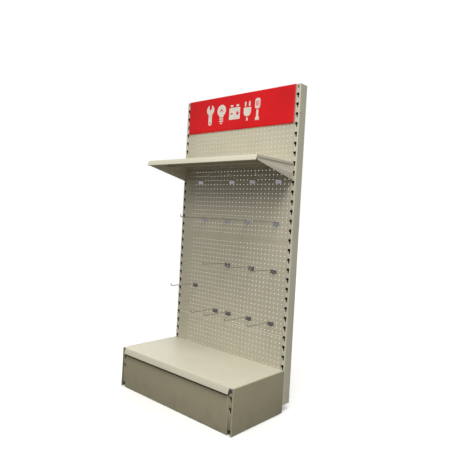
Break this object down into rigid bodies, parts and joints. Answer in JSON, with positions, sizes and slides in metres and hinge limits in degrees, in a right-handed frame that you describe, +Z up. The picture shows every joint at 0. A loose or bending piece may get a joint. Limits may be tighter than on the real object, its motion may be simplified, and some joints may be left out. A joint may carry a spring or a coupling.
{
  "type": "pegboard display stand",
  "caption": "Free-standing perforated-panel retail bay with slotted uprights, plinth base shelf, one bracket shelf, header sign and single-prong hooks.",
  "frame": {"origin": "on the floor, under the middle of the stand's width and depth", "axes": "+Z up, +X to the right as seen from the front, +Y to the back; the open front with the shelves and hooks faces -Y"},
  "size_m": [0.83, 0.472, 1.69],
  "materials": {
    "painted_steel": "satin cream powder coat",
    "cap_plastic": "matte moulded",
    "zinc_plate": "bright zinc plated",
    "chrome_wire": "bright chrome plated wire",
    "sign_board": "printed red, satin laminate",
    "magnet_strip": "flexible magnetic strip"
  },
  "bodies": {
    "stand_frame": {"upright_left": "painted_steel", "upright_right": "painted_steel", "upright_cap_left": "cap_plastic", "upright_cap_right": "cap_plastic", "base_leg_left": "painted_steel", "base_leg_right": "painted_steel", "base_side_panel_left": "painted_steel", "base_side_panel_right": "painted_steel", "tie_rail_bottom": "painted_steel", "tie_rail_middle": "painted_steel", "tie_rail_top": "painted_steel", "rail_bolt_bottom_left": "zinc_plate", "rail_bolt_bottom_right": "zinc_plate", "rail_bolt_middle_left": "zinc_plate", "rail_bolt_middle_right": "zinc_plate", "rail_bolt_top_left": "zinc_plate", "rail_bolt_top_right": "zinc_plate", "back_panel_1": "painted_steel", "back_panel_2": "painted_steel", "back_panel_3": "painted_steel", "back_panel_4": "painted_steel", "back_panel_5": "painted_steel", "back_panel_6": "painted_steel"},
    "foot_front_left_body": {"foot_front_left": "zinc_plate"},
    "foot_front_right_body": {"foot_front_right": "zinc_plate"},
    "foot_rear_left_body": {"foot_rear_left": "zinc_plate"},
    "foot_rear_right_body": {"foot_rear_right": "zinc_plate"},
    "base_shelf_body": {"base_shelf": "painted_steel", "base_shelf_stiffener": "painted_steel"},
    "plinth_body": {"plinth": "painted_steel"},
    "shelf_bracket_pair": {"shelf_bracket_left": "painted_steel", "shelf_bracket_right": "painted_steel"},
    "top_shelf_body": {"top_shelf": "painted_steel", "top_shelf_stiffener": "painted_steel"},
    "header_sign_body": {"header_sign": "sign_board", "sign_magnet_lower": "magnet_strip", "sign_magnet_upper": "magnet_strip"},
    "hook_row1_1_body": {"hook_row1_1": "chrome_wire"},
    "hook_row1_2_body": {"hook_row1_2": "chrome_wire"},
    "hook_row1_3_body": {"hook_row1_3": "chrome_wire"},
    "hook_row1_4_body": {"hook_row1_4": "chrome_wire"},
    "hook_row2_1_body": {"hook_row2_1": "chrome_wire"},
    "hook_row2_2_body": {"hook_row2_2": "chrome_wire"},
    "hook_row2_3_body": {"hook_row2_3": "chrome_wire"},
    "hook_row2_4_body": {"hook_row2_4": "chrome_wire"},
    "hook_row3_1_body": {"hook_row3_1": "chrome_wire"},
    "hook_row3_2_body": {"hook_row3_2": "chrome_wire"},
    "hook_row3_3_body": {"hook_row3_3": "chrome_wire"},
    "hook_row4_1_body": {"hook_row4_1": "chrome_wire"},
    "hook_row5_1_body": {"hook_row5_1": "chrome_wire"},
    "hook_row5_2_body": {"hook_row5_2": "chrome_wire"},
    "hook_row5_3_body": {"hook_row5_3": "chrome_wire"},
    "hook_row5_4_body": {"hook_row5_4": "chrome_wire"}
  },
  "joints": [
    {"name": "foot_front_left_screw", "type": "slide", "parent": "stand_frame", "child": "foot_front_left_body", "axis": [0, 0, -1], "range_m": [0, 0.012]},
    {"name": "foot_front_right_screw", "type": "slide", "parent": "stand_frame", "child": "foot_front_right_body", "axis": [0, 0, -1], "range_m": [0, 0.012]},
    {"name": "foot_rear_left_screw", "type": "slide", "parent": "stand_frame", "child": "foot_rear_left_body", "axis": [0, 0, -1], "range_m": [0, 0.012]},
    {"name": "foot_rear_right_screw", "type": "slide", "parent": "stand_frame", "child": "foot_rear_right_body", "axis": [0, 0, -1], "range_m": [0, 0.012]},
    {"name": "base_shelf_lift", "type": "slide", "parent": "stand_frame", "child": "base_shelf_body", "axis": [0, 0, 1], "range_m": [0, 0.06]},
    {"name": "plinth_lift", "type": "slide", "parent": "stand_frame", "child": "plinth_body", "axis": [0, 0, 1], "range_m": [0, 0.005]},
    {"name": "shelf_bracket_unhook", "type": "slide", "parent": "stand_frame", "child": "shelf_bracket_pair", "axis": [0, 0, 1], "range_m": [0, 0.006]},
    {"name": "top_shelf_lift", "type": "slide", "parent": "shelf_bracket_pair", "child": "top_shelf_body", "axis": [0, 0, 1], "range_m": [0, 0.04]},
    {"name": "header_sign_pull", "type": "slide", "parent": "stand_frame", "child": "header_sign_body", "axis": [0, -1, 0], "range_m": [0, 0.04]},
    {"name": "hook_row1_1_tilt", "type": "hinge", "parent": "stand_frame", "child": "hook_row1_1_body", "pos_m": [-0.2625, 0.1752, 1.2025], "axis": [-1, 0, 0], "range_deg": [0, 18]},
    {"name": "hook_row1_2_tilt", "type": "hinge", "parent": "stand_frame", "child": "hook_row1_2_body", "pos_m": [-0.0125, 0.1752, 1.2025], "axis": [-1, 0, 0], "range_deg": [0, 18]},
    {"name": "hook_row1_3_tilt", "type": "hinge", "parent": "stand_frame", "child": "hook_row1_3_body", "pos_m": [0.1375, 0.1752, 1.2025], "axis": [-1, 0, 0], "range_deg": [0, 18]},
    {"name": "hook_row1_4_tilt", "type": "hinge", "parent": "stand_frame", "child": "hook_row1_4_body", "pos_m": [0.3125, 0.1752, 1.2025], "axis": [-1, 0, 0], "range_deg": [0, 18]},
    {"name": "hook_row2_1_tilt", "type": "hinge", "parent": "stand_frame", "child": "hook_row2_1_body", "pos_m": [-0.2125, 0.1752, 0.9775], "axis": [-1, 0, 0], "range_deg": [0, 18]},
    {"name": "hook_row2_2_tilt", "type": "hinge", "parent": "stand_frame", "child": "hook_row2_2_body", "pos_m": [-0.0375, 0.1752, 0.9775], "axis": [-1, 0, 0], "range_deg": [0, 18]},
    {"name": "hook_row2_3_tilt", "type": "hinge", "parent": "stand_frame", "child": "hook_row2_3_body", "pos_m": [0.1125, 0.1752, 0.9775], "axis": [-1, 0, 0], "range_deg": [0, 18]},
    {"name": "hook_row2_4_tilt", "type": "hinge", "parent": "stand_frame", "child": "hook_row2_4_body", "pos_m": [0.3125, 0.1752, 0.9775], "axis": [-1, 0, 0], "range_deg": [0, 18]},
    {"name": "hook_row3_1_tilt", "type": "hinge", "parent": "stand_frame", "child": "hook_row3_1_body", "pos_m": [-0.0125, 0.1752, 0.7275], "axis": [-1, 0, 0], "range_deg": [0, 18]},
    {"name": "hook_row3_2_tilt", "type": "hinge", "parent": "stand_frame", "child": "hook_row3_2_body", "pos_m": [0.1625, 0.1752, 0.7275], "axis": [-1, 0, 0], "range_deg": [0, 18]},
    {"name": "hook_row3_3_tilt", "type": "hinge", "parent": "stand_frame", "child": "hook_row3_3_body", "pos_m": [0.3125, 0.1752, 0.7275], "axis": [-1, 0, 0], "range_deg": [0, 18]},
    {"name": "hook_row4_1_tilt", "type": "hinge", "parent": "stand_frame", "child": "hook_row4_1_body", "pos_m": [-0.2625, 0.1752, 0.5775], "axis": [-1, 0, 0], "range_deg": [0, 18]},
    {"name": "hook_row5_1_tilt", "type": "hinge", "parent": "stand_frame", "child": "hook_row5_1_body", "pos_m": [-0.0875, 0.1752, 0.4525], "axis": [-1, 0, 0], "range_deg": [0, 18]},
    {"name": "hook_row5_2_tilt", "type": "hinge", "parent": "stand_frame", "child": "hook_row5_2_body", "pos_m": [0.0125, 0.1752, 0.4525], "axis": [-1, 0, 0], "range_deg": [0, 18]},
    {"name": "hook_row5_3_tilt", "type": "hinge", "parent": "stand_frame", "child": "hook_row5_3_body", "pos_m": [0.1625, 0.1752, 0.4525], "axis": [-1, 0, 0], "range_deg": [0, 18]},
    {"name": "hook_row5_4_tilt", "type": "hinge", "parent": "stand_frame", "child": "hook_row5_4_body", "pos_m": [0.3125, 0.1752, 0.4525], "axis": [-1, 0, 0], "range_deg": [0, 18]}
  ]
}
